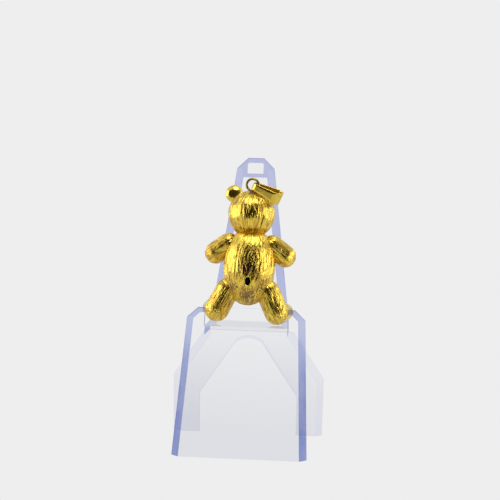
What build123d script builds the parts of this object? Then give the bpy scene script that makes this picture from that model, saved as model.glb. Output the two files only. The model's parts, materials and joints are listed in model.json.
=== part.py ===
# Gold teddy bear pendant resting on a clear chair-shaped stand.
#
# Frame: +Z is up, +X is to the right and +Y runs from the stand's front panel to its rear leg.
# The origin is on the table, at the middle of the object's bounding box.
# The bear faces +Y, so its back is towards -Y. All sizes are in millimetres.
import math
import os

from build123d import *

# ---- stand: driving dimensions ----
SHEET = 1.6                 # thickness of the clear sheet
SHEET_LAND = 0.4            # square part of the sheet's edge, under the bevel
BEVEL = 1.2                 # width and depth of the bevel round every free edge
SEAT_HEIGHT = 20.0          # table to the seat's upper face
SEAT_DEPTH = 10.0           # front of the seat to the foot of the upright
SEAT_WIDTH = 13.6           # width of the seat, and of the upright at its foot
PANEL_LEAN = 20.0           # degrees that the front panel leans back from vertical
PANEL_TOP_WIDTH = 19.6      # front panel, across both horns
PANEL_BOTTOM_WIDTH = 21.4
HORN_HEIGHT = 2.9           # horns above the seat, measured up the panel
HORN_SLANT = 1.7            # width and height of each horn's outer slanted corner
UPRIGHT_LENGTH = 28.8
UPRIGHT_RECLINE = 10.5      # degrees that the upright leans back from vertical
UPRIGHT_TOP_WIDTH = 6.6
UPRIGHT_CORNER = 1.9        # slanted corners at the top of the upright
RECESS_DEPTH = 0.25         # shallow recess in the upright's front face
RECESS_MARGIN = 1.45        # rim left round the recess
RECESS_START = 3.7          # top of the upright down to the recess
RECESS_END = 2.0            # foot of the upright up to the recess
WINDOW_WIDTH = 2.8          # small second recess above the large one
WINDOW_HEIGHT = 2.0
WINDOW_START = 1.1
LEG_LEAN = 13.0             # degrees that the rear leg leans from vertical
LEG_INSET = 0.1             # rear edge of the seat to the leg's rear face, along the seat
LEG_TOP_WIDTH = 15.4
LEG_FOOT_WIDTH = 26.2
LEG_FOOT_HEIGHT = 10.5      # outer edges of the two feet are straight up to here
ARCH_TOP_WIDTH = 4.6
ARCH_FOOT_WIDTH = 17.0
ARCH_FOOT_HEIGHT = 7.5      # inner edges of the two feet are straight up to here
ARCH_TOP_DROP = 0.9         # solid web above the arch
ARCH_TOP_RISE = 0.8         # height of the arch's curved crown

# ---- bear: driving dimensions, in the bear's own frame ----
# The bear's frame has its origin inside the chest, +Z to the head and +Y to the belly.
SHELL_WALL = 0.45           # thickness of the hollow head and torso
HEAD_RADIUS = 4.0
NECK_SINK = 1.2             # how deep the head is set into the chest
HEAD_SIDE = -0.15           # how far the head sits to the left of the torso
CHEST_RADIUS = 3.8
CHEST_HEIGHT = 1.5          # the bear's frame up to the middle of the chest
HIPS_RADIUS = 4.4
HIPS_DROP = 3.0             # the bear's frame down to the middle of the hips
VENT_RADIUS = 0.4           # vent hole low on the back
VENT_HEIGHT = -3.6
EAR_RADIUS = 1.5
EAR_THICKNESS = 1.5
EAR_ROUNDING = 0.68         # rounding of the ears' rims
EAR_OUT = 0.81              # surface of the head to the middle of an ear
EAR_SPREAD = 42.8           # degrees that each ear sits from the top of the head
EAR_FORWARD = 1.0
MUZZLE_RADIUS = 1.9
MUZZLE_SINK = 1.0           # surface of the head in to the middle of the muzzle
MUZZLE_DROP = 1.0
NOSE_RADIUS = 0.55
NOSE_RISE = 0.75            # above the middle of the muzzle
EYE_RADIUS = 0.42
EYE_SIDE = 1.35
EYE_RISE = 1.0
SHOULDER = (3.7, 0.2, 2.9)
SHOULDER_RADIUS = 1.85
PAW = (5.8, 0.9, 1.35)
PAW_RADIUS = 1.95
HIP = (3.4, 0.1, -4.9)
HIP_RADIUS = 2.05
HEEL = (5.0, 0.3, -8.25)
HEEL_RADIUS = 2.08
TOE = (6.25, 3.1, -7.9)
TOE_RADIUS = 1.5

# ---- hanging loop and bail ----
LOOP_RADIUS = 1.0           # middle of the loop to the middle of its wire
LOOP_WIRE_RADIUS = 0.21
LOOP_SINK = 0.02            # how deep the loop's wire is set into the head
LOOP_BACK = 1.95            # how far the loop sits behind the middle of the head
BAIL_THICKNESS = 0.24
BAIL_TIP_REACH = 0.05       # middle of the loop to the outside of the bail's small end
BAIL_TIP_RADIUS = 0.9       # outside of the bail's small end
BAIL_END_RADIUS = 1.35      # outside of the bail's large end
BAIL_LENGTH = 5.3
BAIL_TIP_WIDTH = 1.0
BAIL_END_WIDTH = 2.15
BAIL_STANDOFF = 0.785       # surface of the head to the line the fallen bail lies along
BAIL_ROLL = 24.0            # degrees that the bail lies over on the curve of the head

# ---- how the bear rests on the stand ----
BEAR_PITCH = 8.0            # degrees that the bear leans towards the upright
BEAR_ROLL = 1.2             # degrees that the bear leans to its side
BEAR_FROM_FRONT = 6.2       # front edge of the seat to the bear's middle
FOOT_GAP = 0.05             # clearance under the lower foot

LARGE = 200.0               # longer than anything here, for trimming blocks


# ---- stand ----
def bevelled_plate(outline):
    """A plate on the XY plane, bevelled on its upper face, from a list of corner points."""
    face = make_face(Polyline(outline, close=True))
    top = offset(face, -BEVEL, kind=Kind.INTERSECTION)
    bevelled = loft([Plane.XY.offset(SHEET_LAND) * face, Plane.XY.offset(SHEET) * top], ruled=True)
    return extrude(face, SHEET_LAND) + bevelled


def mirrored(half_outline):
    """A closed outline from its right-hand points, listed from the bottom up."""
    return half_outline + [(-x, y) for x, y in reversed(half_outline)]


def stood_up(plate, lean, y, z):
    """Stand a flat plate up, bevelled face to the front, leaning back and with its foot at y, z."""
    return Pos(0, y, z) * Rot(90 - lean, 0, 0) * plate


def above(height):
    """A block that holds everything above a height."""
    block = Box(LARGE, LARGE, LARGE, align=(Align.CENTER, Align.CENTER, Align.MIN))
    return Pos(0, 0, height) * block


def tangent(degrees):
    return math.tan(math.radians(degrees))


def panel_width_at(length_up):
    """Width of the front panel at a distance up from the table."""
    share = length_up / PANEL_LENGTH
    return PANEL_BOTTOM_WIDTH + (PANEL_TOP_WIDTH - PANEL_BOTTOM_WIDTH) * share


# The seat's front edge, outer face, is at Y = 0 until the whole object is centred.
PANEL_LENGTH = SEAT_HEIGHT / math.cos(math.radians(PANEL_LEAN))
OVERRUN = 4.0               # spare length that the trims at the bends and the table cut off


def make_front_panel():
    side_slope = (PANEL_BOTTOM_WIDTH - PANEL_TOP_WIDTH) / 2 / PANEL_LENGTH
    top = PANEL_LENGTH + HORN_HEIGHT
    half = [
        (panel_width_at(-OVERRUN) / 2, -OVERRUN),
        (panel_width_at(top - HORN_SLANT) / 2, top - HORN_SLANT),
        (panel_width_at(top) / 2 - HORN_SLANT + side_slope, top),
    ]
    foot_y = SHEET / math.cos(math.radians(PANEL_LEAN)) - SEAT_HEIGHT * tangent(PANEL_LEAN)
    panel = stood_up(bevelled_plate(mirrored(half)), PANEL_LEAN, foot_y, 0)
    notch = Box(SEAT_WIDTH, LARGE, LARGE, align=(Align.CENTER, Align.CENTER, Align.MIN))
    return panel & above(0) - Pos(0, 0, SEAT_HEIGHT) * notch


def make_upright():
    foot = SEAT_WIDTH / 2
    half = [
        (foot, -OVERRUN),
        (foot, 0),
        (UPRIGHT_TOP_WIDTH / 2, UPRIGHT_LENGTH - UPRIGHT_CORNER),
        (UPRIGHT_TOP_WIDTH / 2 - UPRIGHT_CORNER, UPRIGHT_LENGTH),
    ]
    plate = bevelled_plate(mirrored(half))
    slope = (SEAT_WIDTH - UPRIGHT_TOP_WIDTH) / 2 / (UPRIGHT_LENGTH - UPRIGHT_CORNER)
    recess_top = UPRIGHT_LENGTH - RECESS_START
    recess_half = [
        (foot - RECESS_MARGIN - slope * RECESS_END, RECESS_END),
        (foot - RECESS_MARGIN - slope * recess_top, recess_top),
    ]
    recess = make_face(Polyline(mirrored(recess_half), close=True))
    window_middle = UPRIGHT_LENGTH - WINDOW_START - WINDOW_HEIGHT / 2
    window = Pos(0, window_middle, 0) * Rectangle(WINDOW_WIDTH, WINDOW_HEIGHT)
    floor_plane = Plane.XY.offset(SHEET - RECESS_DEPTH)
    plate = plate - extrude(floor_plane * recess, SHEET) - extrude(floor_plane * window, SHEET)
    front_to_back = SHEET / math.cos(math.radians(UPRIGHT_RECLINE))
    upright = stood_up(plate, UPRIGHT_RECLINE, SEAT_DEPTH + front_to_back, SEAT_HEIGHT)
    return upright & above(SEAT_HEIGHT - SHEET)


def make_seat():
    """The ledge between the panel and the upright, with its bends as square corners."""
    length = SEAT_DEPTH + SHEET / math.cos(math.radians(UPRIGHT_RECLINE))
    flat = Box(SEAT_WIDTH, length - SHEET / 2, SHEET, align=(Align.CENTER, Align.MIN, Align.MAX))
    return Pos(0, SHEET / 2, SEAT_HEIGHT) * flat


def make_front_sheet():
    return Part() + [make_front_panel(), make_seat(), make_upright()]


def make_rear_leg():
    """The A-shaped leg, bonded under the back of the seat."""
    drop = SEAT_HEIGHT - SHEET
    length = drop / math.cos(math.radians(LEG_LEAN))
    half = [
        (LEG_FOOT_WIDTH / 2, -OVERRUN),
        (LEG_FOOT_WIDTH / 2, LEG_FOOT_HEIGHT),
        (LEG_TOP_WIDTH / 2, length),
        (LEG_TOP_WIDTH / 2, length + OVERRUN),
    ]
    plate = bevelled_plate(mirrored(half))
    crown = length - ARCH_TOP_DROP
    arch_lines = [
        Polyline(
            (ARCH_TOP_WIDTH / 2, crown - ARCH_TOP_RISE),
            (ARCH_FOOT_WIDTH / 2, ARCH_FOOT_HEIGHT),
            (ARCH_FOOT_WIDTH / 2, -LARGE),
            (-ARCH_FOOT_WIDTH / 2, -LARGE),
            (-ARCH_FOOT_WIDTH / 2, ARCH_FOOT_HEIGHT),
            (-ARCH_TOP_WIDTH / 2, crown - ARCH_TOP_RISE),
        ),
        ThreePointArc(
            (-ARCH_TOP_WIDTH / 2, crown - ARCH_TOP_RISE),
            (0, crown),
            (ARCH_TOP_WIDTH / 2, crown - ARCH_TOP_RISE),
        ),
    ]
    arch = make_face(arch_lines)
    plate = plate - extrude(arch, SHEET)
    top_y = SEAT_DEPTH + SHEET / math.cos(math.radians(UPRIGHT_RECLINE)) - LEG_INSET
    foot_y = top_y + drop * tangent(LEG_LEAN)
    leg = stood_up(plate, -LEG_LEAN, foot_y, 0)
    return leg & above(0) - above(drop)


# ---- bear ----
def ball(centre, radius):
    return Pos(*centre) * Sphere(radius)


def tapered_limb(start, start_radius, end, end_radius):
    """Two balls joined by the cone that touches both."""
    axis = Vector(*end) - Vector(*start)
    length = axis.length
    lean = math.asin((start_radius - end_radius) / length)
    side = (math.cos(lean), math.sin(lean))
    start_touch = (start_radius * side[0], start_radius * side[1])
    end_touch = (end_radius * side[0], length + end_radius * side[1])
    start_middle = math.radians((math.degrees(lean) - 90) / 2)
    end_middle = math.radians((math.degrees(lean) + 90) / 2)
    profile = [
        Line((0, length + end_radius), (0, -start_radius)),
        ThreePointArc(
            (0, -start_radius),
            (start_radius * math.cos(start_middle), start_radius * math.sin(start_middle)),
            start_touch,
        ),
        Line(start_touch, end_touch),
        ThreePointArc(
            end_touch,
            (end_radius * math.cos(end_middle), length + end_radius * math.sin(end_middle)),
            (0, length + end_radius),
        ),
    ]
    limb = revolve(Plane.XZ * make_face(profile), Axis.Z)
    return Plane(origin=start, z_dir=axis) * limb


def torso_form(shrink):
    """The torso's outer shape, made smaller all round by a wall thickness."""
    hips = (0, 0, -HIPS_DROP)
    chest = (0, 0, CHEST_HEIGHT)
    return tapered_limb(hips, HIPS_RADIUS - shrink, chest, CHEST_RADIUS - shrink)


def back_half(solid):
    return solid & Pos(0, -LARGE / 2, 0) * Box(LARGE, LARGE, LARGE)


def front_half(solid):
    return solid & Pos(0, LARGE / 2, 0) * Box(LARGE, LARGE, LARGE)


def left_of(point):
    return (-point[0], point[1], point[2])


HEAD_HEIGHT = CHEST_HEIGHT + CHEST_RADIUS + HEAD_RADIUS - NECK_SINK
HEAD_CENTRE = (HEAD_SIDE, 0, HEAD_HEIGHT)
MUZZLE_CENTRE = (HEAD_SIDE, HEAD_RADIUS - MUZZLE_SINK, HEAD_HEIGHT - MUZZLE_DROP)
HEAD_RISE_AT_LOOP = math.sqrt(HEAD_RADIUS**2 - LOOP_BACK**2)
LOOP_RISE = HEAD_RISE_AT_LOOP + LOOP_RADIUS + LOOP_WIRE_RADIUS - LOOP_SINK
LOOP_CENTRE = (HEAD_SIDE, -LOOP_BACK, HEAD_HEIGHT + LOOP_RISE)
BAIL_DROOP = math.degrees(math.acos((HEAD_RISE_AT_LOOP + BAIL_STANDOFF) / LOOP_RISE))


def make_head():
    outer = ball(HEAD_CENTRE, HEAD_RADIUS)
    return outer, outer - ball(HEAD_CENTRE, HEAD_RADIUS - SHELL_WALL)


def make_torso(head):
    outer = torso_form(0)
    shell = outer - torso_form(SHELL_WALL) - head
    vent = Pos(0, -HIPS_RADIUS, VENT_HEIGHT) * Rot(90, 0, 0) * Cylinder(VENT_RADIUS, HIPS_RADIUS)
    return outer, shell - vent


def make_ear(side, head):
    disc = Cylinder(EAR_RADIUS, EAR_THICKNESS)
    ear = Rot(90, 0, 0) * fillet(disc.edges().filter_by(GeomType.CIRCLE), EAR_ROUNDING)
    reach = math.sqrt((HEAD_RADIUS + EAR_OUT) ** 2 - EAR_FORWARD**2)
    spread = math.radians(EAR_SPREAD)
    centre = (
        HEAD_SIDE + side * reach * math.sin(spread),
        EAR_FORWARD,
        HEAD_HEIGHT + reach * math.cos(spread),
    )
    return Pos(*centre) * ear - head


def make_muzzle(head):
    return ball(MUZZLE_CENTRE, MUZZLE_RADIUS) - head


def make_nose(head):
    reach = math.sqrt(MUZZLE_RADIUS**2 - NOSE_RISE**2)
    centre = (HEAD_SIDE, MUZZLE_CENTRE[1] + reach, MUZZLE_CENTRE[2] + NOSE_RISE)
    return ball(centre, NOSE_RADIUS) - ball(MUZZLE_CENTRE, MUZZLE_RADIUS) - head


def make_eyes(head):
    forward = math.sqrt(HEAD_RADIUS**2 - EYE_SIDE**2 - EYE_RISE**2)
    eyes = []
    for side in (-1, 1):
        centre = (HEAD_SIDE + side * EYE_SIDE, forward, HEAD_HEIGHT + EYE_RISE)
        eyes.append(ball(centre, EYE_RADIUS) - head)
    return Part() + eyes


def make_arm(shoulder, paw, torso, head):
    return tapered_limb(shoulder, SHOULDER_RADIUS, paw, PAW_RADIUS) - torso - head


def make_leg(hip, heel, toe, torso):
    thigh = tapered_limb(hip, HIP_RADIUS, heel, HEEL_RADIUS)
    foot = tapered_limb(heel, HEEL_RADIUS, toe, TOE_RADIUS)
    return thigh + foot - torso


def make_loop(head):
    return Pos(*LOOP_CENTRE) * Rot(90, 0, 0) * Torus(LOOP_RADIUS, LOOP_WIRE_RADIUS) - head


def bail_outline(inset):
    """Hull of the bail's small and large end circles, in its own plane."""
    tip_radius = BAIL_TIP_RADIUS - inset
    end_radius = BAIL_END_RADIUS - inset
    tip_x = BAIL_TIP_REACH + BAIL_TIP_RADIUS
    end_x = BAIL_TIP_REACH + BAIL_LENGTH - BAIL_END_RADIUS
    lean = math.acos((tip_radius - end_radius) / (end_x - tip_x))
    touch = (math.cos(lean), math.sin(lean))
    tip_touch = (tip_x + tip_radius * touch[0], tip_radius * touch[1])
    end_touch = (end_x + end_radius * touch[0], end_radius * touch[1])
    return make_face([
        ThreePointArc(tip_touch, (tip_x - tip_radius, 0), (tip_touch[0], -tip_touch[1])),
        Line((tip_touch[0], -tip_touch[1]), (end_touch[0], -end_touch[1])),
        ThreePointArc((end_touch[0], -end_touch[1]), (end_x + end_radius, 0), end_touch),
        Line(end_touch, tip_touch),
    ])


def make_bail():
    """The bail, with its length along +X from the middle of the loop."""
    band = bail_outline(0) - bail_outline(BAIL_THICKNESS)
    band = extrude(band, BAIL_END_WIDTH, both=True)
    far = BAIL_TIP_REACH + BAIL_LENGTH
    taper = Polyline(
        (BAIL_TIP_REACH, -BAIL_TIP_WIDTH / 2),
        (far, -BAIL_END_WIDTH / 2),
        (far, BAIL_END_WIDTH / 2),
        (BAIL_TIP_REACH, BAIL_TIP_WIDTH / 2),
        close=True,
    )
    taper = extrude(Plane.XZ * make_face(taper), LARGE, both=True)
    return Pos(*LOOP_CENTRE) * Rot(0, BAIL_DROOP, 0) * Rot(BAIL_ROLL, 0, 0) * (band & taper)


def make_bear():
    head, head_shell = make_head()
    torso, torso_shell = make_torso(head)
    return {
        "head_back_shell": back_half(head_shell),
        "head_front_shell": front_half(head_shell),
        "muzzle": make_muzzle(head),
        "nose_bead": make_nose(head),
        "eye_beads": make_eyes(head),
        "left_ear": make_ear(-1, head),
        "right_ear": make_ear(1, head),
        "torso_back_shell": back_half(torso_shell),
        "torso_front_shell": front_half(torso_shell),
        "left_arm": make_arm(left_of(SHOULDER), left_of(PAW), torso, head),
        "right_arm": make_arm(SHOULDER, PAW, torso, head),
        "left_leg": make_leg(left_of(HIP), left_of(HEEL), left_of(TOE), torso),
        "right_leg": make_leg(HIP, HEEL, TOE, torso),
        "hanging_loop": make_loop(head),
        "bail": make_bail(),
    }


def bear_place(bear):
    """Where the bear's frame sits on the stand, with its lower foot just clear of the seat."""
    lean = Rot(0, BEAR_ROLL, 0) * Rot(-BEAR_PITCH, 0, 0)
    lowest = min((lean * bear[name]).bounding_box().min.Z for name in ("left_leg", "right_leg"))
    return Pos(0, BEAR_FROM_FRONT, SEAT_HEIGHT + FOOT_GAP - lowest) * lean


def make_object():
    """Every sub-part by node name, and the bear's place, centred on the origin."""
    bear = make_bear()
    place = bear_place(bear)
    nodes = {"stand_front_sheet": make_front_sheet(), "stand_rear_leg": make_rear_leg()}
    for name, solid in bear.items():
        nodes[name] = place * solid
    box = Compound(list(nodes.values())).bounding_box()
    centre = Pos(-(box.min.X + box.max.X) / 2, -(box.min.Y + box.max.Y) / 2, 0)
    return {name: centre * solid for name, solid in nodes.items()}, centre * place


os.makedirs("parts", exist_ok=True)
nodes, bear_frame = make_object()
for name, solid in nodes.items():
    export_step(solid, f"parts/{name}.step")

loop_point = bear_frame * Pos(*LOOP_CENTRE)
swing_axis = bear_frame * Pos(0, 1, 0)
print("bail swing point", [round(v, 4) for v in loop_point.position])
print("bail swing axis", [round(v, 5) for v in swing_axis.position - bear_frame.position])
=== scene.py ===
import json
import math

import bmesh
import bpy
from mathutils import Matrix, Vector, noise


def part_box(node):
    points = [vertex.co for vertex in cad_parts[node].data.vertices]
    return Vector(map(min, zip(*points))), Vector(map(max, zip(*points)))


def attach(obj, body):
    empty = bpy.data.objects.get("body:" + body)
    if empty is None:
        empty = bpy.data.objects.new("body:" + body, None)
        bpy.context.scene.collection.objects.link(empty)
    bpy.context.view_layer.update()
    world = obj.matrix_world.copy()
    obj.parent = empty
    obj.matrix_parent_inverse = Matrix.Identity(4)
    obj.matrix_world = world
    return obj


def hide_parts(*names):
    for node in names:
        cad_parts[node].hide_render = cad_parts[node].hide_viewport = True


bl_info = {
    "name": "Bear Pendant on a Clear Stand",
    "version": (1, 0, 0),
    "blender": (4, 5, 0),
    "location": "3D View > Sidebar > Bear Pendant",
    "description": "Gold teddy bear pendant with a swinging bail, set on a clear chair-shaped stand",
    "category": "Object",
}

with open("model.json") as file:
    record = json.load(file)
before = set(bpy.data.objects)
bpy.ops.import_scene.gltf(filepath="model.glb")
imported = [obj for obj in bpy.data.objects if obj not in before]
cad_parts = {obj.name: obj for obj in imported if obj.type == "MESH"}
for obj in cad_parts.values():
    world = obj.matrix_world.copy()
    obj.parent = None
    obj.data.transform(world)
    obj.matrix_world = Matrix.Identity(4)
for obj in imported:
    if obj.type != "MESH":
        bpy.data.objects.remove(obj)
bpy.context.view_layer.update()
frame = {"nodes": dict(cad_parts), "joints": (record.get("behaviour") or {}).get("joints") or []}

MM = 0.001

# How the bear leans, and the joint that its own frame is hung from.
PITCH = math.radians(8.0)
ROLL = math.radians(1.2)
TURN = Matrix.Rotation(ROLL, 4, "Y") @ Matrix.Rotation(-PITCH, 4, "X")
SWING = next(j for j in frame["joints"] if j["name"] == "bail_swing")

# Places and radii in mm in the bear's own frame: Y points out of its face, Z towards its head.
HEAD = Vector((-0.15, 0, 8.1))
LOOP = Vector((-0.15, -1.95, 12.7825))
MUZZLE = HEAD + Vector((0, 3.0, -1.0))
MUZZLE_RADIUS = 1.9
NOSE_RISE = 0.75
NOSE_RADIUS = 0.55
EYE_OUT = 1.35
EYE_RISE = 1.0
EYE_RADIUS = 0.42
EAR_OUT = 0.81
EAR_FORWARD = 1.0
EAR_SPREAD = math.radians(42.8)
VENT_X = 0.12
VENT_Z = -3.6
BAIL_START = 0.05
BAIL_EDGE = 0.05

# Each limb part: where it starts, its radius there, where it ends and its radius there.
LIMBS = {
    "arm": ((3.7, 0.2, 2.9), 1.85, (5.8, 0.9, 1.35), 1.95),
    "leg": ((3.4, 0.1, -4.9), 2.05, (5.0, 0.3, -8.25), 2.08),
    "foot": ((5.0, 0.3, -8.25), 2.08, (6.25, 3.1, -7.9), 1.5),
}

# Painted reflections and painted shade as brown spots low on the back, round the vent: across, up, and
# reach.
BACK_PAINTED_SPOTS = ((0.2, -5.9, 2.1), (-0.1, -1.6, 1.7), (2.6, -4.4, 1.3), (-2.5, -4.6, 1.3))

# Fullness of an oval's outline, from 1 for a plain oval downwards for a squarer one.
FULLNESS = 0.94

# The cut strokes: how fast they wander and how far, their length, and two sizes of ridge.
WANDER = Vector((0.6, 0.6, 0.5))
WANDER_REACH = 1.4
FINE_ALONG = 0.42
FINE_WEIGHT = 0.75
BROAD_ACROSS = 0.4
BROAD_ALONG = 0.25
BROAD_WEIGHT = 0.45

# The vent's edge, as shares of its half width: raggedness, start, slope, and the raised rim round it.
VENT_RAGGED = 0.16
VENT_EDGE = 1.12
VENT_SLOPE = 0.3
VENT_RIM = 1.35
VENT_RIM_SPREAD = 0.22
VENT_RIM_HEIGHT = 0.13
VENT_RIM_SIDE = 2.2

# Noise cells per mm of the fur's marks, twice across a stroke and then along it.
STROKE_GRAIN = (3.8, 3.8, 0.42)
HAIR_GRAIN = (9.5, 9.5, 0.85)
PATCH_GRAIN = (0.9, 0.9, 0.55)
BACK_PAINT_GRAIN = (4.4, 4.4, 2.2)
BUMP_DEPTH = 0.11 * MM
POLISH_DEPTH = 0.02 * MM

# Vertex layers that the fur's material reads.
FUR = "fur_place"
# How far into the vent a point lies, which the material paints near-black as painted shade inside the
# hole.
VENT_SHADE_LAYER = "hollow"
# Brown spots low on the back, which the material paints as painted reflections and painted shade.
BACK_PAINT_LAYER = "back_reflection_and_shade"

# Heights on the stand between which its colours change, in metres.
SHEET_DEEP = (0.0, 0.021)
RIM_DEEP = (0.012, 0.0205)

# The point that the lights and cards face, in metres.
AIM = Vector((0, 0, 0.032))


def bear_frame():
    """The bear's own frame, in metres, from the point that its bail swings about."""
    swing_point = Matrix.Translation(Vector(SWING["pos_m"]))
    return swing_point @ TURN @ Matrix.Scale(MM, 4) @ Matrix.Translation(-LOOP)


# ---- settings ----
def length_setting(name, description, default, low=0.0):
    """A length in millimetres."""
    return bpy.props.FloatProperty(
        name=name, description=description, default=default, min=low, precision=3
    )


def angle_setting(name, description, degrees):
    """An angle, shown in degrees."""
    return bpy.props.FloatProperty(
        name=name, description=description, default=math.radians(degrees), subtype="ANGLE"
    )


def colour_setting(name, description, default):
    """A linear colour."""
    return bpy.props.FloatVectorProperty(
        name=name, description=description, default=default, subtype="COLOR", size=3, min=0.0, max=1.0
    )


class BearSizes(bpy.types.PropertyGroup):
    """Sizes of the bear's furry forms, in millimetres."""

    head_radius: length_setting("Head radius", "Radius of the head, in mm", 4.0)
    torso_width: length_setting("Torso half width", "Half the width of the torso, in mm", 4.38)
    torso_depth: length_setting("Torso half depth", "Half the depth of the torso, in mm", 4.3)
    torso_height: length_setting("Torso half height", "Half the height of the torso, in mm", 6.35)
    torso_shoulders: bpy.props.FloatProperty(
        name="Torso shoulders", description="How full the torso's top is: 1 is an oval, less is squarer",
        default=0.66, min=0.3, max=1.2,
    )
    torso_middle: bpy.props.FloatProperty(
        name="Torso middle", description="Height of the torso's middle in the bear's frame, in mm",
        default=-1.0,
    )
    ear_radius: length_setting("Ear radius", "Radius of each ear, in mm", 1.5)
    ear_depth: length_setting("Ear half depth", "Half the thickness of each ear, in mm", 0.86)
    fur_depth: length_setting("Fur depth", "Depth of the engraved strokes, in mm", 0.10)
    fur_stroke: length_setting("Stroke width", "Width of one engraved stroke, in mm", 0.42, 0.05)
    vent_width: length_setting("Vent half width", "Half the width of the hole in the back, in mm", 0.4)
    vent_height: length_setting("Vent half height", "Half the height of the hole in the back, in mm", 0.66)
    vent_depth: length_setting("Vent depth", "Depth shown inside the hole, in mm", 1.1)


class FindingSizes(bpy.types.PropertyGroup):
    """Sizes of the wire loop and the bail, in millimetres."""

    loop_radius: length_setting("Loop radius", "Middle of the loop to the middle of its wire, in mm", 1.0)
    wire_radius: length_setting("Wire radius", "Radius of the loop's wire, in mm", 0.21)
    bail_length: length_setting("Bail length", "Length of the bail, in mm", 5.3)
    bail_thickness: length_setting("Bail thickness", "Thickness of the bail's band, in mm", 0.24)
    bail_tip_radius: length_setting("Small end radius", "Outside radius of the small end, in mm", 0.9)
    bail_end_radius: length_setting("Large end radius", "Outside radius of the large end, in mm", 1.35)
    bail_tip_width: length_setting("Small end width", "Width of the band at the small end, in mm", 1.0)
    bail_end_width: length_setting("Large end width", "Width of the band at the large end, in mm", 2.15)
    bail_droop: angle_setting("Bail droop", "How far the bail has fallen below level", 24.0)
    bail_roll: angle_setting("Bail roll", "How far the bail lies over on the curve of the head", 24.0)


class Colours(bpy.types.PropertyGroup):
    """Colours of the gold and of the clear sheet."""

    gold: colour_setting("Gold", "Gold on the raised fur and the polished pieces", (0.84, 0.61, 0.085))
    # Painted shade in the grooves: the gold is darkened where the strokes are cut low.
    groove_painted_shade: colour_setting("Gold in the grooves", "Gold in the engraved grooves", (0.20, 0.09, 0.014))
    gold_worn: colour_setting("Worn gold", "Redder gold in broad patches", (0.50, 0.27, 0.045))
    loop_gold: colour_setting("Loop gold", "Tarnished gold of the wire loop", (0.42, 0.31, 0.10))
    # Painted reflection and painted shade: brown spots low on the back, round the vent and where the legs
    # meet the torso.
    back_reflection_and_shade: colour_setting("Painted back spots", "Brown stains low on the back", (0.17, 0.095, 0.06))
    # Painted shade inside the vent hole, near-black with a faint green painted reflection.
    inside: colour_setting("Inside", "Dark inside of the hollow bear", (0.010, 0.022, 0.022))
    sheet: colour_setting("Sheet", "Light that the clear sheet lets through", (0.988, 0.989, 0.996))
    sheet_low: colour_setting("Low sheet", "Light let through near the table", (0.925, 0.93, 0.955))
    rim_top: colour_setting("Upper rims", "Light that the upper bevels let through", (0.49, 0.53, 0.80))
    rim_foot: colour_setting("Lower rims", "Light that the lowest bevels let through", (0.25, 0.31, 0.64))
    rim_pale: colour_setting("Pale rims", "Light let through by short bevels", (0.92, 0.925, 0.965))
    rim_glint: colour_setting("Rim glints", "Light let through in the rims' streaks", (0.80, 0.83, 0.94))


class StudioSettings(bpy.types.PropertyGroup):
    """Camera, light and floor."""

    distance: bpy.props.FloatProperty(
        name="Camera distance", description="Camera to the object's middle", default=0.190, unit="LENGTH"
    )
    height: bpy.props.FloatProperty(
        name="Camera aim height", description="Height the camera aims at", default=0.0353, unit="LENGTH"
    )
    azimuth: angle_setting("Azimuth", "Camera's angle round the object", 3.6)
    elevation: angle_setting("Elevation", "Camera's angle above level", 0.9)
    tilt: angle_setting("Tilt", "Camera's turn about its own axis", 1.8)
    lens: bpy.props.FloatProperty(
        name="Focal length", description="Focal length for a 36 mm sensor, in mm", default=82.0
    )
    shift: bpy.props.FloatProperty(
        name="Lens shift", description="Upward shift of the lens, as a share of the frame", default=-0.034
    )
    backdrop: colour_setting("Backdrop", "Colour of the floor and the wall behind", (0.855, 0.855, 0.855))
    key_power: bpy.props.FloatProperty(
        name="Side light power", description="Power of each side light, in watts", default=0.30, min=0.0
    )


class PendantSettings(bpy.types.PropertyGroup):
    """All settings of the pendant and its studio."""

    bear: bpy.props.PointerProperty(type=BearSizes, name="Bear", description="Sizes of the bear")
    finding: bpy.props.PointerProperty(
        type=FindingSizes, name="Loop and bail", description="Sizes of the loop and bail"
    )
    colours: bpy.props.PointerProperty(
        type=Colours, name="Colours", description="Colours of gold and acrylic"
    )
    studio: bpy.props.PointerProperty(
        type=StudioSettings, name="Studio", description="Camera, light and floor"
    )


def settings():
    """The scene's settings of the pendant."""
    return bpy.context.scene.bear_pendant


# ---- shaping helpers ----
def new_object(name, shape, material):
    """An object made from a finished shape, which is used up."""
    mesh = bpy.data.meshes.new(name)
    shape.to_mesh(mesh)
    shape.free()
    mesh.materials.append(material)
    made = bpy.data.objects.new(name, mesh)
    bpy.context.scene.collection.objects.link(made)
    return made


def new_piece(name, shape, material, body, slot, *replaced):
    """A finished, smooth-shaded piece that rides on a body and stands for some CAD nodes."""
    bmesh.ops.recalc_face_normals(shape, faces=shape.faces)
    piece = new_object(name, shape, material)
    piece.data.shade_smooth()
    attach(piece, body)
    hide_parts(*replaced)
    return piece


def engraved_piece(name, shape, node):
    """A furry piece of the bear."""
    return new_piece(name, shape, engraved_gold(), "bear", "engraved_gold", node)


def polished_piece(name, shape, node):
    """A smooth bright piece of the bear."""
    return new_piece(name, shape, bright_gold(), "bear", "polished_gold", node)


def capsule_profile(radius_a, radius_b, length, count=64):
    """Points (radius, height) from pole to pole of two joined balls, evenly spaced."""
    lean = math.asin((radius_a - radius_b) / length)
    points = []
    for step in range(count + 1):
        angle = -math.pi / 2 + (lean + math.pi / 2) * step / count
        points.append((radius_a * math.cos(angle), radius_a * math.sin(angle)))
    for step in range(count + 1):
        angle = lean + (math.pi / 2 - lean) * step / count
        points.append((radius_b * math.cos(angle), length + radius_b * math.sin(angle)))
    return points


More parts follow.
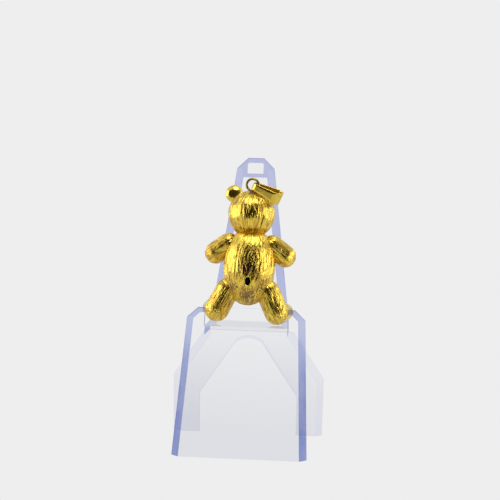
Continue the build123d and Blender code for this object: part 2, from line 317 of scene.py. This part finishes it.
def oval_profile(radius, height, shoulders=FULLNESS, count=160):
    """Points (radius, height) from pole to pole of an upright oval; low shoulders square off its top."""
    points = []
    for step in range(count + 1):
        angle = math.pi * step / count - math.pi / 2
        across = math.cos(angle) if 0 < step < count else 0.0
        fullness = shoulders if angle > 0 else FULLNESS
        points.append((radius * across**fullness, height * math.sin(angle)))
    return points


def even_profile(points, count=1000):
    """The profile in even steps of its length: radius, height and distance from its start."""
    reach = [0.0]
    for a, b in zip(points, points[1:]):
        reach.append(reach[-1] + math.dist(a, b))
    found = []
    at = 0
    for step in range(count + 1):
        goal = step / count * reach[-1]
        while at < len(reach) - 2 and reach[at + 1] < goal:
            at += 1
        gap = reach[at + 1] - reach[at] or 1.0
        t = (goal - reach[at]) / gap
        a, b = points[at], points[at + 1]
        found.append((a[0] + (b[0] - a[0]) * t, a[1] + (b[1] - a[1]) * t, goal))
    return found


def clamp(value):
    """The value, kept between 0 and 1."""
    return min(1.0, max(0.0, value))


def stroke_height(place, width, seed):
    """Height of the fur at a place, from 0 in a groove to 1 on a ridge."""
    wander = WANDER_REACH * noise.noise(WANDER * place + Vector((0, 0, seed)))
    x = place.x / width + wander
    y = place.y / width + wander
    fine = noise.noise(Vector((x, y, place.z * FINE_ALONG + seed)))
    broad = noise.noise(Vector((x * BROAD_ACROSS, y * BROAD_ACROSS, place.z * BROAD_ALONG - seed)))
    return clamp(0.5 + FINE_WEIGHT * fine + BROAD_WEIGHT * broad)


def vent_at(point, middle, seed):
    """How far the vent pushes a point of the back inwards, in mm, and how much painted shade it gets
    there.
    """
    sizes = settings().bear
    off = Vector(((point.x - VENT_X) / sizes.vent_width, (point.z - middle) / sizes.vent_height))
    away = off.length + VENT_RAGGED * noise.noise(Vector((off.x * 1.3, off.y * 1.3, seed)))
    inside = clamp((VENT_EDGE - away) / VENT_SLOPE)
    one_sided = 0.5 + 0.5 * math.sin(math.atan2(off.y, off.x) - VENT_RIM_SIDE)
    rim = VENT_RIM_HEIGHT * math.exp(-((away - VENT_RIM) / VENT_RIM_SPREAD) ** 2) * one_sided
    return sizes.vent_depth * inside * inside * (3 - 2 * inside) - rim, min(1.0, inside * 1.6)


def painted_spots_at(x, z):
    """How much painted reflection and shade the back gets there, from 0 to 1."""
    return max(math.exp(-(((x - sx) ** 2 + (z - sz) ** 2) / reach**2)) for sx, sz, reach in BACK_PAINTED_SPOTS)


def fur_form(profile, place, around, along, seed, squash=1.0, fur=1.0, back_middle=None):
    """A furry form turned from a profile, with strokes running from pole to pole.

    place moves it from its own axis into the row frame. Grooves are cut inwards from the profile.
    back_middle is the form's middle height on the torso, which gets the vent and the painted brown
    reflections and shade.
    """
    sizes = settings().bear
    shape = bmesh.new()
    bmesh.ops.create_uvsphere(shape, u_segments=around, v_segments=along, radius=1.0)
    fur_layer = shape.verts.layers.float_vector.new(FUR)
    vent_shade_layer = shape.verts.layers.float.new(VENT_SHADE_LAYER)
    back_paint_layer = shape.verts.layers.float.new(BACK_PAINT_LAYER)
    table = even_profile(profile)
    widest = max(radius for radius, height in profile)
    for v in shape.verts:
        share = 0.5 + math.asin(max(-1.0, min(1.0, v.co.z))) / math.pi
        radius, height, reach = table[round(share * (len(table) - 1))]
        flat = Vector((v.co.x, v.co.y, 0))
        out = flat.normalized() if flat.length > 1e-6 else Vector()
        fur_place = Vector((out.x * widest, out.y * widest, reach))
        groove = sizes.fur_depth * fur * (1 - stroke_height(fur_place, sizes.fur_stroke, seed))
        point = Vector((out.x * radius, out.y * radius * squash, height)) - v.co * groove
        if back_middle is not None and point.y < 0:
            push, hollow = vent_at(point, VENT_Z - back_middle, seed)
            point.y += push
            v[vent_shade_layer] = hollow
            v[back_paint_layer] = painted_spots_at(point.x, point.z + back_middle)
        v[fur_layer] = fur_place
        v.co = place @ point
    return shape


def limb_place(start, end, side):
    """Matrix from a limb's own axis to the row frame, and the limb's length."""
    a = Vector((start[0] * side, start[1], start[2]))
    b = Vector((end[0] * side, end[1], end[2]))
    turn = (b - a).to_track_quat("Z", "Y").to_matrix().to_4x4()
    return bear_frame() @ Matrix.Translation(a) @ turn, (b - a).length


def halves(shape):
    """Split a form into its back and front halves at the middle of the bear."""
    middle = bear_frame() @ HEAD
    across = (bear_frame().to_3x3() @ Vector((0, 1, 0))).normalized()
    parts = []
    for back in (True, False):
        half = shape.copy()
        bmesh.ops.bisect_plane(
            half, geom=half.verts[:] + half.edges[:] + half.faces[:], dist=1e-8, plane_co=middle,
            plane_no=across, clear_outer=back, clear_inner=not back,
        )
        parts.append(half)
    shape.free()
    return parts


# ---- materials ----
class Nodes:
    """Short ways to add nodes to one material."""

    def __init__(self, name):
        self.material = bpy.data.materials.new(name)
        self.material.use_nodes = True
        self.tree = self.material.node_tree
        self.tree.nodes.clear()
        self.output = self.add("ShaderNodeOutputMaterial")

    def add(self, kind, **values):
        node = self.tree.nodes.new(kind)
        for key, value in values.items():
            setattr(node, key, value)
        return node

    def link(self, source, target):
        self.tree.links.new(source, target)

    def scaled(self, source, scale):
        mapping = self.add("ShaderNodeMapping")
        mapping.inputs["Scale"].default_value = scale
        self.link(source, mapping.inputs["Vector"])
        return mapping.outputs["Vector"]

    def object_place(self, across, up):
        """Place on the object, in cells per metre across and up."""
        source = self.add("ShaderNodeTexCoord")
        return self.scaled(source.outputs["Object"], (across, across, up))

    def object_height(self):
        """Height above the table, in metres."""
        source = self.add("ShaderNodeTexCoord")
        parts = self.add("ShaderNodeSeparateXYZ")
        self.link(source.outputs["Object"], parts.inputs["Vector"])
        return parts.outputs["Z"]

    def fur_place(self, grain):
        """Place on the fur, in cells per mm."""
        source = self.add("ShaderNodeAttribute", attribute_name=FUR)
        return self.scaled(source.outputs["Vector"], grain)

    def layer(self, name):
        """The value that a vertex layer holds."""
        return self.add("ShaderNodeAttribute", attribute_name=name).outputs["Fac"]

    def noise(self, place, detail=3.0, roughness=0.5, distortion=0.0):
        node = self.add("ShaderNodeTexNoise")
        node.inputs["Scale"].default_value = 1.0
        node.inputs["Detail"].default_value = detail
        node.inputs["Roughness"].default_value = roughness
        node.inputs["Distortion"].default_value = distortion
        self.link(place, node.inputs["Vector"])
        return node.outputs["Fac"]

    def feed(self, value, socket):
        """Link an output, or set a colour."""
        if isinstance(value, bpy.types.NodeSocket):
            self.link(value, socket)
        else:
            socket.default_value = (*value, 1.0)

    def mix(self, colour_a, colour_b):
        node = self.add("ShaderNodeMix", data_type="RGBA", clamp_factor=True)
        self.feed(colour_a, node.inputs["A"])
        self.feed(colour_b, node.inputs["B"])
        return node

    def blend(self, share, colour_a, colour_b):
        """A fixed share of the second colour over the first."""
        node = self.mix(colour_a, colour_b)
        node.inputs["Factor"].default_value = share
        return node.outputs["Result"]

    def ramp(self, source, low, high, colour_low, colour_high):
        """The first colour below low, the second above high."""
        node = self.mix(colour_low, colour_high)
        self.link(self.spread(source, low, high, 0.0, 1.0), node.inputs["Factor"])
        return node.outputs["Result"]

    def spread(self, source, low, high, out_low, out_high):
        """Turn the range from low to high into another range, smoothly."""
        node = self.add("ShaderNodeMapRange", clamp=True, interpolation_type="SMOOTHSTEP")
        limits = {"From Min": low, "From Max": high, "To Min": out_low, "To Max": out_high}
        for name, value in limits.items():
            node.inputs[name].default_value = value
        self.link(source, node.inputs["Value"])
        return node.outputs["Result"]

    def sum_of(self, a, b, weight):
        """a plus b times its weight."""
        node = self.add("ShaderNodeMath", operation="MULTIPLY_ADD")
        self.link(b, node.inputs[0])
        node.inputs[1].default_value = weight
        self.link(a, node.inputs[2])
        return node.outputs["Value"]

    def surface(self, shader, output):
        self.link(shader.outputs[output], self.output.inputs["Surface"])
        return self.material

    def metal(self, colour, roughness, height, strength, distance):
        """A metal surface with a bump."""
        bump = self.add("ShaderNodeBump")
        bump.inputs["Strength"].default_value = strength
        bump.inputs["Distance"].default_value = distance
        self.link(height, bump.inputs["Height"])
        shader = self.add("ShaderNodeBsdfPrincipled")
        shader.inputs["Metallic"].default_value = 1.0
        self.link(colour, shader.inputs["Base Color"])
        self.link(roughness, shader.inputs["Roughness"])
        self.link(bump.outputs["Normal"], shader.inputs["Normal"])
        return self.surface(shader, "BSDF")

    def see_through(self, tint, haze, gloss_share):
        """A see-through surface with a soft reflection on its outside."""
        clear = self.add("ShaderNodeBsdfTransparent")
        self.link(tint, clear.inputs["Color"])
        gloss = self.add("ShaderNodeBsdfGlossy")
        self.link(self.spread(haze, 0.3, 0.7, 0.03, 0.10), gloss.inputs["Roughness"])
        edge = self.add("ShaderNodeFresnel")
        edge.inputs["IOR"].default_value = 1.2
        share = self.add("ShaderNodeMath", operation="MULTIPLY")
        self.link(edge.outputs["Fac"], share.inputs[0])
        share.inputs[1].default_value = gloss_share
        side = self.add("ShaderNodeNewGeometry")
        outside = self.add("ShaderNodeMath", operation="SUBTRACT", use_clamp=True)
        self.link(share.outputs["Value"], outside.inputs[0])
        self.link(side.outputs["Backfacing"], outside.inputs[1])
        mix = self.add("ShaderNodeMixShader")
        self.link(outside.outputs["Value"], mix.inputs[0])
        self.link(clear.outputs["BSDF"], mix.inputs[1])
        self.link(gloss.outputs["BSDF"], mix.inputs[2])
        return self.surface(mix, "Shader")


def engraved_gold():
    """Gold cut with fine strokes along each form, with painted shade in the grooves and in the vent hole.
    """
    name = "engraved gold"
    if name in bpy.data.materials:
        return bpy.data.materials[name]
    colours = settings().colours
    n = Nodes(name)
    strokes = n.noise(n.fur_place(STROKE_GRAIN), roughness=0.6, distortion=0.35)
    hairs = n.noise(n.fur_place(HAIR_GRAIN), detail=2.0, distortion=0.2)
    patches = n.noise(n.fur_place(PATCH_GRAIN), detail=2.0, distortion=0.4)
    mottle = n.noise(n.fur_place(BACK_PAINT_GRAIN), roughness=0.6, distortion=0.6)
    # Painted shade: the same noise that lowers the bump darkens the gold in the grooves.
    gold = n.ramp(strokes, 0.34, 0.50, colours.groove_painted_shade, colours.gold)
    worn = n.ramp(patches, 0.36, 0.56, colours.gold_worn, gold)
    tinted = n.blend(0.6, gold, worn)
    # Painted reflections and painted shade as mottled brown spots low on the back.
    back_paint_mask = n.sum_of(mottle, n.layer(BACK_PAINT_LAYER), 0.34)
    back_painted = n.ramp(back_paint_mask, 0.70, 0.86, tinted, colours.back_reflection_and_shade)
    # Painted shade inside the vent hole.
    colour = n.ramp(n.layer(VENT_SHADE_LAYER), 0.25, 0.75, back_painted, colours.inside)
    roughness = n.spread(hairs, 0.3, 0.7, 0.24, 0.13)
    return n.metal(colour, roughness, n.sum_of(strokes, hairs, 0.45), 1.0, BUMP_DEPTH)


def polished_gold(name, gold, low, high, relief):
    """Smooth gold with faint polishing marks and soft stains, its roughness between low and high."""
    if name in bpy.data.materials:
        return bpy.data.materials[name]
    n = Nodes(name)
    marks = n.noise(n.object_place(900.0, 3200.0))
    stain = n.noise(n.object_place(420.0, 420.0), distortion=0.3)
    colour = n.ramp(stain, 0.35, 0.65, tuple(0.72 * c for c in gold), gold)
    roughness = n.spread(marks, 0.3, 0.7, low, high)
    return n.metal(colour, roughness, marks, relief, POLISH_DEPTH)


def bright_gold():
    """The gold of the ears, the nose and the eyes."""
    return polished_gold("polished gold", settings().colours.gold, 0.12, 0.24, 0.5)


def clear_sheet():
    """Clear acrylic seen through: a little cooler and deeper towards the table."""
    name = "clear acrylic"
    if name in bpy.data.materials:
        return bpy.data.materials[name]
    colours = settings().colours
    n = Nodes(name)
    tint = n.ramp(n.object_height(), *SHEET_DEEP, colours.sheet_low, colours.sheet)
    return n.see_through(tint, n.noise(n.object_place(260.0, 180.0)), 1.0)


def rim_sheet(name, top, foot):
    """Bevels and edges of the acrylic, which gather a violet-blue that deepens downwards."""
    if name in bpy.data.materials:
        return bpy.data.materials[name]
    n = Nodes(name)
    tint = n.ramp(n.object_height(), *RIM_DEEP, foot, top)
    haze = n.noise(n.object_place(180.0, 90.0))
    streaked = n.ramp(haze, 0.35, 0.65, tint, settings().colours.rim_glint)
    return n.see_through(n.blend(0.25, tint, streaked), haze, 0.6)


def pale_paper(colour):
    """Glowing pale paper with a faint grain."""
    n = Nodes("pale paper")
    grain = n.noise(n.object_place(40.0, 40.0), detail=2.0)
    light = n.add("ShaderNodeEmission")
    n.link(n.ramp(grain, 0.3, 0.7, tuple(0.995 * c for c in colour), colour), light.inputs["Color"])
    return n.surface(light, "Emission")


def dark_card():
    """Matt dark card with a faint weave."""
    n = Nodes("dark card")
    weave = n.noise(n.object_place(60.0, 60.0), roughness=0.55)
    shade = n.add("ShaderNodeBsdfDiffuse")
    n.link(n.ramp(weave, 0.3, 0.7, (0.012, 0.010, 0.010), (0.03, 0.022, 0.02)), shade.inputs["Color"])
    return n.surface(shade, "BSDF")


# ---- operators ----
class OBJECT_OT_bear_head(bpy.types.Operator):
    """Make the two halves of the head"""

    bl_idname = "object.bear_head"
    bl_label = "Head"
    bl_options = {"REGISTER", "UNDO"}

    def execute(self, context):
        radius = settings().bear.head_radius
        place = bear_frame() @ Matrix.Translation(HEAD)
        form = fur_form(oval_profile(radius, radius), place, around=224, along=170, seed=3.1)
        back, front = halves(form)
        engraved_piece("head_back", back, "head_back_shell")
        engraved_piece("head_front", front, "head_front_shell")
        return {"FINISHED"}


class OBJECT_OT_bear_face(bpy.types.Operator):
    """Make the muzzle, nose and eyes"""

    bl_idname = "object.bear_face"
    bl_label = "Face"
    bl_options = {"REGISTER", "UNDO"}

    def execute(self, context):
        place = bear_frame() @ Matrix.Translation(MUZZLE) @ Matrix.Rotation(math.radians(-90), 4, "X")
        profile = oval_profile(MUZZLE_RADIUS, MUZZLE_RADIUS)
        form = fur_form(profile, place, around=96, along=72, seed=5.7, fur=0.5)
        engraved_piece("muzzle_look", form, "muzzle")
        reach = math.sqrt(MUZZLE_RADIUS**2 - NOSE_RISE**2)
        nose = self.beads([MUZZLE + Vector((0, reach, NOSE_RISE))], NOSE_RADIUS)
        polished_piece("nose", nose, "nose_bead")
        forward = math.sqrt(settings().bear.head_radius**2 - EYE_OUT**2 - EYE_RISE**2)
        places = [HEAD + Vector((side * EYE_OUT, forward, EYE_RISE)) for side in (-1, 1)]
        polished_piece("eyes", self.beads(places, EYE_RADIUS), "eye_beads")
        return {"FINISHED"}

    def beads(self, places, radius):
        """Small balls at some places."""
        shape = bmesh.new()
        for centre in places:
            matrix = bear_frame() @ Matrix.Translation(centre)
            bmesh.ops.create_uvsphere(shape, u_segments=48, v_segments=32, radius=radius, matrix=matrix)
        return shape


class OBJECT_OT_bear_ears(bpy.types.Operator):
    """Make both ears"""

    bl_idname = "object.bear_ears"
    bl_label = "Ears"
    bl_options = {"REGISTER", "UNDO"}

    def execute(self, context):
        sizes = settings().bear
        reach = math.sqrt((sizes.head_radius + EAR_OUT) ** 2 - EAR_FORWARD**2)
        out, up = reach * math.sin(EAR_SPREAD), reach * math.cos(EAR_SPREAD)
        squash = Matrix.Diagonal((1, sizes.ear_depth / sizes.ear_radius, 1, 1))
        for side, name in ((-1, "left_ear"), (1, "right_ear")):
            place = bear_frame() @ Matrix.Translation(HEAD + Vector((side * out, EAR_FORWARD, up)))
            shape = bmesh.new()
            bmesh.ops.create_uvsphere(
                shape, u_segments=96, v_segments=64, radius=sizes.ear_radius, matrix=place @ squash
            )
            polished_piece(name + "_look", shape, name)
        return {"FINISHED"}


class OBJECT_OT_bear_torso(bpy.types.Operator):
    """Make the two halves of the torso, with the vent hole in the back"""

    bl_idname = "object.bear_torso"
    bl_label = "Torso"
    bl_options = {"REGISTER", "UNDO"}

    def execute(self, context):
        sizes = settings().bear
        place = bear_frame() @ Matrix.Translation((0, 0, sizes.torso_middle))
        profile = oval_profile(sizes.torso_width, sizes.torso_height, sizes.torso_shoulders)
        form = fur_form(
            profile, place, around=300, along=240, seed=8.4,
            squash=sizes.torso_depth / sizes.torso_width, back_middle=sizes.torso_middle,
        )
        back, front = halves(form)
        engraved_piece("torso_back", back, "torso_back_shell")
        engraved_piece("torso_front", front, "torso_front_shell")
        return {"FINISHED"}


class OBJECT_OT_bear_limbs(bpy.types.Operator):
    """Make the arms and the legs with their feet"""

    bl_idname = "object.bear_limbs"
    bl_label = "Arms and legs"
    bl_options = {"REGISTER", "UNDO"}

    def execute(self, context):
        for side, word in ((-1, "left"), (1, "right")):
            engraved_piece(word + "_arm_look", self.limb("arm", side, 11.0 + side), word + "_arm")
            leg = self.limb("leg", side, 15.0 + side)
            foot = self.limb("foot", side, 19.0 + side)
            foot_mesh = bpy.data.meshes.new("foot")
            foot.to_mesh(foot_mesh)
            foot.free()
            leg.from_mesh(foot_mesh)
            bpy.data.meshes.remove(foot_mesh)
            engraved_piece(word + "_leg_look", leg, word + "_leg")
        return {"FINISHED"}

    def limb(self, kind, side, seed):
        """One arm, leg or foot of the left (-1) or right (1) side."""
        start, start_radius, end, end_radius = LIMBS[kind]
        place, length = limb_place(start, end, side)
        profile = capsule_profile(start_radius, end_radius, length)
        return fur_form(profile, place, around=128, along=128, seed=seed)


class OBJECT_OT_bear_loop(bpy.types.Operator):
    """Make the wire loop on top of the head"""

    bl_idname = "object.bear_loop"
    bl_label = "Hanging loop"
    bl_options = {"REGISTER", "UNDO"}

    def execute(self, context):
        sizes = settings().finding
        quarter_turn = Matrix.Rotation(math.pi / 2, 4, "X")
        wire = Matrix.Translation((sizes.loop_radius, 0, 0)) @ quarter_turn
        shape = bmesh.new()
        bmesh.ops.create_circle(shape, segments=24, radius=sizes.wire_radius, matrix=wire)
        bmesh.ops.spin(
            shape, geom=shape.edges[:], cent=(0, 0, 0), axis=(0, 0, 1), angle=math.tau, steps=96,
            use_merge=True,
        )
        shape.transform(bear_frame() @ Matrix.Translation(LOOP) @ quarter_turn)
        wire_gold = polished_gold("wire gold", settings().colours.loop_gold, 0.22, 0.36, 0.3)
        new_piece("loop", shape, wire_gold, "bear", "polished_gold", "hanging_loop")
        return {"FINISHED"}


class OBJECT_OT_bear_bail(bpy.types.Operator):
    """Make the bail that hangs from the loop"""

    bl_idname = "object.bear_bail"
    bl_label = "Bail"
    bl_options = {"REGISTER", "UNDO"}

    def execute(self, context):
        sizes = settings().finding
        shape = self.outline(sizes)
        edges = shape.edges[:]
        strips = 4
        for step in range(strips):
            made = bmesh.ops.extrude_edge_only(shape, edges=edges)["geom"]
            edges = [g for g in made if isinstance(g, bmesh.types.BMEdge)]
            verts = [g for g in made if isinstance(g, bmesh.types.BMVert)]
            bmesh.ops.translate(shape, verts=verts, vec=(0, 1 / strips, 0))
        slope = (sizes.bail_end_width - sizes.bail_tip_width) / sizes.bail_length
        for v in shape.verts:
            width = sizes.bail_tip_width + slope * (v.co.x - BAIL_START)
            v.co.y = (v.co.y - 0.5) * width
        turn = Matrix.Rotation(sizes.bail_droop, 4, "Y") @ Matrix.Rotation(sizes.bail_roll, 4, "X")
        lay_down = Matrix.Rotation(-math.pi / 2, 4, "X")
        shape.transform(bear_frame() @ Matrix.Translation(LOOP) @ turn @ lay_down)
        gold = polished_gold("bail gold", settings().colours.gold, 0.12, 0.24, 0.10)
        bail = new_piece("bail_band", shape, gold, "bail", "polished_gold", "bail")
        wall = bail.modifiers.new("band thickness", "SOLIDIFY")
        wall.thickness = sizes.bail_thickness * MM
        wall.offset = -1.0
        wall.use_even_offset = True
        soft = bail.modifiers.new("soft edges", "BEVEL")
        soft.width = BAIL_EDGE * MM
        soft.segments = 2
        soft.limit_method = "ANGLE"
        return {"FINISHED"}

    def outline(self, sizes):
        """The band's edge: a closed line round its two end circles, upright in XZ."""
        shape = bmesh.new()
        bmesh.ops.create_circle(shape, segments=160, radius=1.0)
        tip_x = BAIL_START + sizes.bail_tip_radius
        end_x = BAIL_START + sizes.bail_length - sizes.bail_end_radius
        touch = math.acos((sizes.bail_tip_radius - sizes.bail_end_radius) / (end_x - tip_x))
        for v in shape.verts:
            angle = math.atan2(v.co.y, v.co.x)
            near_end = abs(angle) <= touch
            radius = sizes.bail_end_radius if near_end else sizes.bail_tip_radius
            middle = end_x if near_end else tip_x
            v.co = (middle + radius * math.cos(angle), 0, radius * math.sin(angle))
        return shape


class OBJECT_OT_bear_stand(bpy.types.Operator):
    """Finish the two clear pieces of the stand"""

    bl_idname = "object.bear_stand"
    bl_label = "Clear stand"
    bl_options = {"REGISTER", "UNDO"}

    # How closely a face must look the way of a broad face to be one of them.
    LEVEL = 0.99
    # Faces that look less sideways than this run across the stand; up to the band they are pale.
    CROSSWISE = 0.3
    SEAT_BAND = 0.003
    # The upright's rim reaches above the seat by this much and is this flat, in metres.
    ABOVE_SEAT = 0.006
    RIM_FLATNESS = 0.0001
    # Broad faces cover at least this many square metres in one direction.
    BROAD_AREA = 60e-6

    def execute(self, context):
        colours = settings().colours
        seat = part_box("stand_rear_leg")[1].z
        for name in ("stand_front_sheet", "stand_rear_leg"):
            piece = frame["nodes"][name]
            piece.data.materials.clear()
            piece.data.materials.append(clear_sheet())
            piece.data.materials.append(rim_sheet("violet rims", colours.rim_top, colours.rim_foot))
            piece.data.materials.append(rim_sheet("pale rims", colours.rim_pale, colours.rim_pale))
            broad = self.broad_directions(piece.data)
            front_rim = self.upright_rim(piece.data, seat)
            for face in piece.data.polygons:
                crosswise = abs(face.normal.x) < self.CROSSWISE and face.center.z < seat + self.SEAT_BAND
                if face.index in front_rim:
                    face.material_index = 1
                elif any(abs(face.normal.dot(d)) > self.LEVEL for d in broad):
                    face.material_index = 0
                elif name == "stand_rear_leg" or crosswise:
                    face.material_index = 2
                else:
                    face.material_index = 1
        return {"FINISHED"}

    def upright_rim(self, mesh, seat):
        """The faces of the upright's front rim, which stands proud of its two recesses."""
        facing = [
            f for f in mesh.polygons
            if f.normal.y < -0.9 and f.center.y > 0
            and max(mesh.vertices[i].co.z for i in f.vertices) > seat + self.ABOVE_SEAT
        ]
        outmost = max((f.normal.dot(f.center) for f in facing), default=0.0)
        return {f.index for f in facing if f.normal.dot(f.center) > outmost - self.RIM_FLATNESS}

    def broad_directions(self, mesh):
        """The directions that the sheet's broad faces look in."""
        areas = {}
        for face in mesh.polygons:
            if abs(face.normal.x) > 0.05:
                continue
            key = round(math.degrees(math.atan2(face.normal.z, face.normal.y))) % 180
            total, direction = areas.get(key, (0.0, face.normal.copy()))
            areas[key] = (total + face.area, direction)
        return [direction for total, direction in areas.values() if total > self.BROAD_AREA]


class OBJECT_OT_bear_stage(bpy.types.Operator):
    """Set out the floor, the lights, the dark cards and the camera"""

    bl_idname = "object.bear_stage"
    bl_label = "Studio"
    bl_options = {"REGISTER", "UNDO"}

    def execute(self, context):
        studio = settings().studio
        floor = self.stage_sheet("floor", Matrix.Scale(4.0, 4), pale_paper(studio.backdrop))
        floor.location.z = -0.00002
        self.lights(studio)
        self.cards()
        self.camera(studio)
        self.air(studio)
        return {"FINISHED"}

    def stage_sheet(self, name, matrix, material):
        """A flat sheet, 1 m square before its matrix."""
        shape = bmesh.new()
        bmesh.ops.create_grid(shape, x_segments=1, y_segments=1, size=0.5)
        shape.transform(matrix)
        sheet = new_object(name, shape, material)
        return sheet

    def lights(self, studio):
        for name, place, size, power in (
            ("left light", (-0.25, -0.02, 0.08), 0.18, 1.0),
            ("right light", (0.25, -0.03, 0.07), 0.16, 0.9),
            ("top light", (0.03, -0.10, 0.26), 0.12, 0.9),
        ):
            lamp = bpy.data.lights.new(name, "AREA")
            lamp.shape = "SQUARE"
            lamp.size = size
            lamp.energy = studio.key_power * power
            holder = bpy.data.objects.new(name, lamp)
            holder.location = place
            holder.rotation_mode = "QUATERNION"
            holder.rotation_quaternion = (AIM - Vector(place)).to_track_quat("-Z", "Y")
            bpy.context.scene.collection.objects.link(holder)

    def cards(self):
        """Dark cards that only the metal's reflections show."""
        material = dark_card()
        for name, place, width, height in (
            ("camera card", (0.02, -0.24, 0.02), 0.92, 0.74),
            ("low card", (0.0, -0.10, 0.002), 0.20, 0.05),
        ):
            turn = (AIM - Vector(place)).to_track_quat("Z", "Y").to_matrix().to_4x4()
            matrix = Matrix.Translation(place) @ turn @ Matrix.Diagonal((width, height, 1, 1))
            card = self.stage_sheet(name, matrix, material)
            card.visible_camera = False
            card.visible_transmission = False
            card.visible_diffuse = False
            card.visible_shadow = False

    def camera(self, studio):
        a, e = studio.azimuth, studio.elevation
        back = Vector((math.sin(a) * math.cos(e), -math.cos(a) * math.cos(e), math.sin(e)))
        lens = bpy.data.cameras.new("camera")
        lens.lens = studio.lens
        lens.clip_start = 0.01
        lens.shift_y = studio.shift
        camera = bpy.data.objects.new("camera", lens)
        camera.location = Vector((0, 0, studio.height)) + back * studio.distance
        camera.rotation_mode = "QUATERNION"
        level = (-back).to_track_quat("-Z", "Y")
        camera.rotation_quaternion = level @ Matrix.Rotation(studio.tilt, 4, "Z").to_quaternion()
        bpy.context.scene.collection.objects.link(camera)
        bpy.context.scene.camera = camera

    def air(self, studio):
        """Even light from all around."""
        world = bpy.data.worlds.new("studio air")
        world.use_nodes = True
        background = world.node_tree.nodes["Background"]
        background.inputs["Color"].default_value = (*studio.backdrop, 1.0)
        background.inputs["Strength"].default_value = 1.0
        bpy.context.scene.world = world
        bpy.context.scene.view_settings.view_transform = "Standard"


OPERATORS = (
    OBJECT_OT_bear_head,
    OBJECT_OT_bear_face,
    OBJECT_OT_bear_ears,
    OBJECT_OT_bear_torso,
    OBJECT_OT_bear_limbs,
    OBJECT_OT_bear_loop,
    OBJECT_OT_bear_bail,
    OBJECT_OT_bear_stand,
    OBJECT_OT_bear_stage,
)


class VIEW3D_PT_bear_pendant(bpy.types.Panel):
    """Lists the settings and the operators"""

    bl_label = "Bear Pendant"
    bl_idname = "VIEW3D_PT_bear_pendant"
    bl_space_type = "VIEW_3D"
    bl_region_type = "UI"
    bl_category = "Bear Pendant"

    def draw(self, context):
        held = context.scene.bear_pendant
        for group in (held.bear, held.finding, held.colours, held.studio):
            box = self.layout.box()
            for name in group.__annotations__:
                box.prop(group, name)
        for operator in OPERATORS:
            self.layout.operator(operator.bl_idname)


SETTINGS = (BearSizes, FindingSizes, Colours, StudioSettings, PendantSettings)
CLASSES = (*SETTINGS, *OPERATORS, VIEW3D_PT_bear_pendant)


def register():
    for cls in CLASSES:
        bpy.utils.register_class(cls)
    bpy.types.Scene.bear_pendant = bpy.props.PointerProperty(type=PendantSettings)


def unregister():
    del bpy.types.Scene.bear_pendant
    for cls in reversed(CLASSES):
        bpy.utils.unregister_class(cls)


def main():
    register()
    for operator in OPERATORS:
        group, name = operator.bl_idname.split(".")
        getattr(getattr(bpy.ops, group), name)()


if __name__ == "__main__":
    main()
